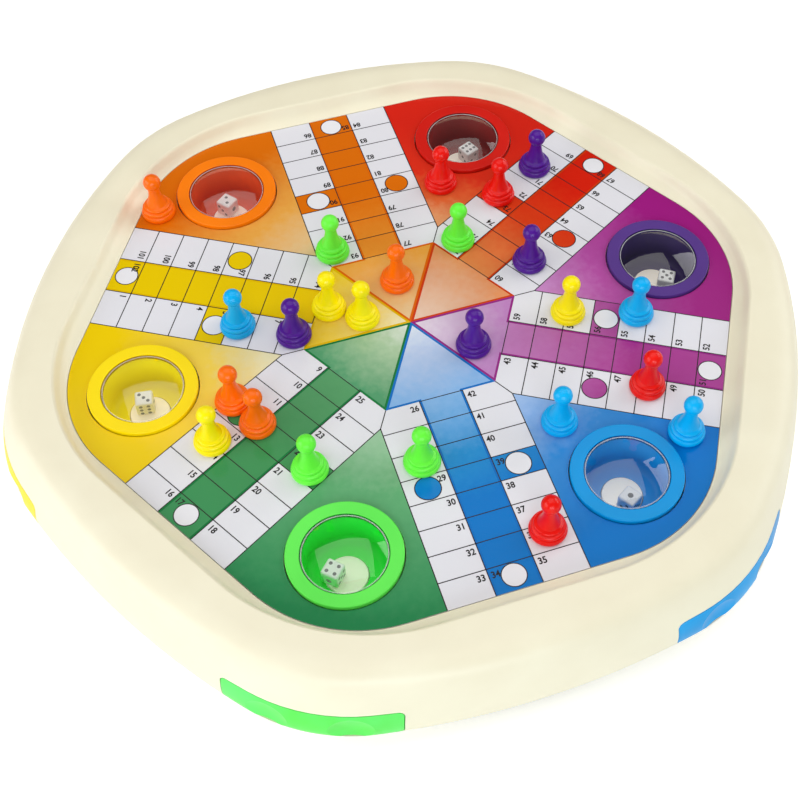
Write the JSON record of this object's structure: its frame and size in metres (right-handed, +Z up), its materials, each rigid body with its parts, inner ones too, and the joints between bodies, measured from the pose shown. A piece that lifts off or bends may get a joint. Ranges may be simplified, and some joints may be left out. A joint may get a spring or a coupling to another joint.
{
  "type": "pop up dice board game",
  "caption": "Rounded hexagonal game case with a recessed track board, press-down dice poppers under clear domes, pawn drawers at the corners and standing pawns.",
  "frame": {"origin": "on the table under the middle of the board, level with the bottoms of the feet", "axes": "+Z up, +X from the middle towards the purple corner, -Y towards the blue track arm"},
  "size_m": [0.424, 0.4024, 0.0705],
  "materials": {
    "cream_plastic": "moulded cream plastic, satin",
    "printed_board": "printed sheet with a gloss laminate",
    "pale_plastic": "moulded pale plastic",
    "clear_plastic": "clear polished plastic",
    "die_plastic": "white polished plastic with dark pips",
    "spring_steel": "drawn spring wire",
    "screw_steel": "zinc plated",
    "foot_rubber": "soft matt rubber",
    "purple_plastic": "purple moulded plastic, glossy",
    "red_plastic": "red moulded plastic, glossy",
    "orange_plastic": "orange moulded plastic, glossy",
    "yellow_plastic": "yellow moulded plastic, glossy",
    "green_plastic": "green moulded plastic, glossy",
    "blue_plastic": "blue moulded plastic, glossy"
  },
  "bodies": {
    "case": {"top_casing": "cream_plastic", "base_cover": "cream_plastic", "game_board": "printed_board", "strike_plates": "pale_plastic", "rubber_feet": "foot_rubber", "case_screws": "screw_steel"},
    "popper_purple": {"popper_cup_purple": "purple_plastic", "dome_purple": "clear_plastic", "return_spring_purple": "spring_steel"},
    "popper_red": {"popper_cup_red": "red_plastic", "dome_red": "clear_plastic", "return_spring_red": "spring_steel"},
    "popper_orange": {"popper_cup_orange": "orange_plastic", "dome_orange": "clear_plastic", "return_spring_orange": "spring_steel"},
    "popper_yellow": {"popper_cup_yellow": "yellow_plastic", "dome_yellow": "clear_plastic", "return_spring_yellow": "spring_steel"},
    "popper_green": {"popper_cup_green": "green_plastic", "dome_green": "clear_plastic", "return_spring_green": "spring_steel"},
    "popper_blue": {"popper_cup_blue": "blue_plastic", "dome_blue": "clear_plastic", "return_spring_blue": "spring_steel"},
    "drawer_purple": {"drawer_purple": "purple_plastic"},
    "drawer_red": {"drawer_red": "red_plastic"},
    "drawer_orange": {"drawer_orange": "orange_plastic"},
    "drawer_yellow": {"drawer_yellow": "yellow_plastic"},
    "drawer_green": {"drawer_green": "green_plastic"},
    "drawer_blue": {"drawer_blue": "blue_plastic"},
    "die_purple": {"die_purple": "die_plastic"},
    "die_red": {"die_red": "die_plastic"},
    "die_orange": {"die_orange": "die_plastic"},
    "die_yellow": {"die_yellow": "die_plastic"},
    "die_green": {"die_green": "die_plastic"},
    "die_blue": {"die_blue": "die_plastic"},
    "pawn_purple_1": {"pawn_purple_1": "purple_plastic"},
    "pawn_purple_2": {"pawn_purple_2": "purple_plastic"},
    "pawn_purple_3": {"pawn_purple_3": "purple_plastic"},
    "pawn_purple_4": {"pawn_purple_4": "purple_plastic"},
    "pawn_red_1": {"pawn_red_1": "red_plastic"},
    "pawn_red_2": {"pawn_red_2": "red_plastic"},
    "pawn_red_3": {"pawn_red_3": "red_plastic"},
    "pawn_red_4": {"pawn_red_4": "red_plastic"},
    "pawn_orange_1": {"pawn_orange_1": "orange_plastic"},
    "pawn_orange_2": {"pawn_orange_2": "orange_plastic"},
    "pawn_orange_3": {"pawn_orange_3": "orange_plastic"},
    "pawn_orange_4": {"pawn_orange_4": "orange_plastic"},
    "pawn_yellow_1": {"pawn_yellow_1": "yellow_plastic"},
    "pawn_yellow_2": {"pawn_yellow_2": "yellow_plastic"},
    "pawn_yellow_3": {"pawn_yellow_3": "yellow_plastic"},
    "pawn_yellow_4": {"pawn_yellow_4": "yellow_plastic"},
    "pawn_green_1": {"pawn_green_1": "green_plastic"},
    "pawn_green_2": {"pawn_green_2": "green_plastic"},
    "pawn_green_3": {"pawn_green_3": "green_plastic"},
    "pawn_green_4": {"pawn_green_4": "green_plastic"},
    "pawn_blue_1": {"pawn_blue_1": "blue_plastic"},
    "pawn_blue_2": {"pawn_blue_2": "blue_plastic"},
    "pawn_blue_3": {"pawn_blue_3": "blue_plastic"},
    "pawn_blue_4": {"pawn_blue_4": "blue_plastic"}
  },
  "joints": [
    {"name": "popper_purple_press", "type": "slide", "parent": "case", "child": "popper_purple", "axis": [0, 0, -1], "range_m": [0, 0.004], "stiffness_N_per_m": 1500, "springref_m": -0.002, "deforming": ["return_spring_purple"]},
    {"name": "popper_red_press", "type": "slide", "parent": "case", "child": "popper_red", "axis": [0, 0, -1], "range_m": [0, 0.004], "stiffness_N_per_m": 1500, "springref_m": -0.002, "deforming": ["return_spring_red"]},
    {"name": "popper_orange_press", "type": "slide", "parent": "case", "child": "popper_orange", "axis": [0, 0, -1], "range_m": [0, 0.004], "stiffness_N_per_m": 1500, "springref_m": -0.002, "deforming": ["return_spring_orange"]},
    {"name": "popper_yellow_press", "type": "slide", "parent": "case", "child": "popper_yellow", "axis": [0, 0, -1], "range_m": [0, 0.004], "stiffness_N_per_m": 1500, "springref_m": -0.002, "deforming": ["return_spring_yellow"]},
    {"name": "popper_green_press", "type": "slide", "parent": "case", "child": "popper_green", "axis": [0, 0, -1], "range_m": [0, 0.004], "stiffness_N_per_m": 1500, "springref_m": -0.002, "deforming": ["return_spring_green"]},
    {"name": "popper_blue_press", "type": "slide", "parent": "case", "child": "popper_blue", "axis": [0, 0, -1], "range_m": [0, 0.004], "stiffness_N_per_m": 1500, "springref_m": -0.002, "deforming": ["return_spring_blue"]},
    {"name": "drawer_purple_slide", "type": "slide", "parent": "case", "child": "drawer_purple", "axis": [1, 0, 0], "range_m": [0, 0.03]},
    {"name": "drawer_red_slide", "type": "slide", "parent": "case", "child": "drawer_red", "axis": [0.5, 0.866, 0], "range_m": [0, 0.03]},
    {"name": "drawer_orange_slide", "type": "slide", "parent": "case", "child": "drawer_orange", "axis": [-0.5, 0.866, 0], "range_m": [0, 0.03]},
    {"name": "drawer_yellow_slide", "type": "slide", "parent": "case", "child": "drawer_yellow", "axis": [-1, 0, 0], "range_m": [0, 0.03]},
    {"name": "drawer_green_slide", "type": "slide", "parent": "case", "child": "drawer_green", "axis": [-0.5, -0.866, 0], "range_m": [0, 0.03]},
    {"name": "drawer_blue_slide", "type": "slide", "parent": "case", "child": "drawer_blue", "axis": [0.5, -0.866, 0], "range_m": [0, 0.03]},
    {"name": "die_purple_hop", "type": "slide", "parent": "case", "child": "die_purple", "axis": [0, 0, 1], "range_m": [0, 0.004]},
    {"name": "die_red_hop", "type": "slide", "parent": "case", "child": "die_red", "axis": [0, 0, 1], "range_m": [0, 0.004]},
    {"name": "die_orange_hop", "type": "slide", "parent": "case", "child": "die_orange", "axis": [0, 0, 1], "range_m": [0, 0.004]},
    {"name": "die_yellow_hop", "type": "slide", "parent": "case", "child": "die_yellow", "axis": [0, 0, 1], "range_m": [0, 0.004]},
    {"name": "die_green_hop", "type": "slide", "parent": "case", "child": "die_green", "axis": [0, 0, 1], "range_m": [0, 0.004]},
    {"name": "die_blue_hop", "type": "slide", "parent": "case", "child": "die_blue", "axis": [0, 0, 1], "range_m": [0, 0.004]},
    {"name": "pawn_purple_1_lift", "type": "slide", "parent": "case", "child": "pawn_purple_1", "axis": [0, 0, 1], "range_m": [0, 0.04]},
    {"name": "pawn_purple_2_lift", "type": "slide", "parent": "case", "child": "pawn_purple_2", "axis": [0, 0, 1], "range_m": [0, 0.04]},
    {"name": "pawn_purple_3_lift", "type": "slide", "parent": "case", "child": "pawn_purple_3", "axis": [0, 0, 1], "range_m": [0, 0.04]},
    {"name": "pawn_purple_4_lift", "type": "slide", "parent": "case", "child": "pawn_purple_4", "axis": [0, 0, 1], "range_m": [0, 0.04]},
    {"name": "pawn_red_1_lift", "type": "slide", "parent": "case", "child": "pawn_red_1", "axis": [0, 0, 1], "range_m": [0, 0.04]},
    {"name": "pawn_red_2_lift", "type": "slide", "parent": "case", "child": "pawn_red_2", "axis": [0, 0, 1], "range_m": [0, 0.04]},
    {"name": "pawn_red_3_lift", "type": "slide", "parent": "case", "child": "pawn_red_3", "axis": [0, 0, 1], "range_m": [0, 0.04]},
    {"name": "pawn_red_4_lift", "type": "slide", "parent": "case", "child": "pawn_red_4", "axis": [0, 0, 1], "range_m": [0, 0.04]},
    {"name": "pawn_orange_1_lift", "type": "slide", "parent": "case", "child": "pawn_orange_1", "axis": [0, 0, 1], "range_m": [0, 0.04]},
    {"name": "pawn_orange_2_lift", "type": "slide", "parent": "case", "child": "pawn_orange_2", "axis": [0, 0, 1], "range_m": [0, 0.04]},
    {"name": "pawn_orange_3_lift", "type": "slide", "parent": "case", "child": "pawn_orange_3", "axis": [0, 0, 1], "range_m": [0, 0.04]},
    {"name": "pawn_orange_4_lift", "type": "slide", "parent": "case", "child": "pawn_orange_4", "axis": [0, 0, 1], "range_m": [0, 0.04]},
    {"name": "pawn_yellow_1_lift", "type": "slide", "parent": "case", "child": "pawn_yellow_1", "axis": [0, 0, 1], "range_m": [0, 0.04]},
    {"name": "pawn_yellow_2_lift", "type": "slide", "parent": "case", "child": "pawn_yellow_2", "axis": [0, 0, 1], "range_m": [0, 0.04]},
    {"name": "pawn_yellow_3_lift", "type": "slide", "parent": "case", "child": "pawn_yellow_3", "axis": [0, 0, 1], "range_m": [0, 0.04]},
    {"name": "pawn_yellow_4_lift", "type": "slide", "parent": "case", "child": "pawn_yellow_4", "axis": [0, 0, 1], "range_m": [0, 0.04]},
    {"name": "pawn_green_1_lift", "type": "slide", "parent": "case", "child": "pawn_green_1", "axis": [0, 0, 1], "range_m": [0, 0.04]},
    {"name": "pawn_green_2_lift", "type": "slide", "parent": "case", "child": "pawn_green_2", "axis": [0, 0, 1], "range_m": [0, 0.04]},
    {"name": "pawn_green_3_lift", "type": "slide", "parent": "case", "child": "pawn_green_3", "axis": [0, 0, 1], "range_m": [0, 0.04]},
    {"name": "pawn_green_4_lift", "type": "slide", "parent": "case", "child": "pawn_green_4", "axis": [0, 0, 1], "range_m": [0, 0.04]},
    {"name": "pawn_blue_1_lift", "type": "slide", "parent": "case", "child": "pawn_blue_1", "axis": [0, 0, 1], "range_m": [0, 0.04]},
    {"name": "pawn_blue_2_lift", "type": "slide", "parent": "case", "child": "pawn_blue_2", "axis": [0, 0, 1], "range_m": [0, 0.04]},
    {"name": "pawn_blue_3_lift", "type": "slide", "parent": "case", "child": "pawn_blue_3", "axis": [0, 0, 1], "range_m": [0, 0.04]},
    {"name": "pawn_blue_4_lift", "type": "slide", "parent": "case", "child": "pawn_blue_4", "axis": [0, 0, 1], "range_m": [0, 0.04]}
  ]
}
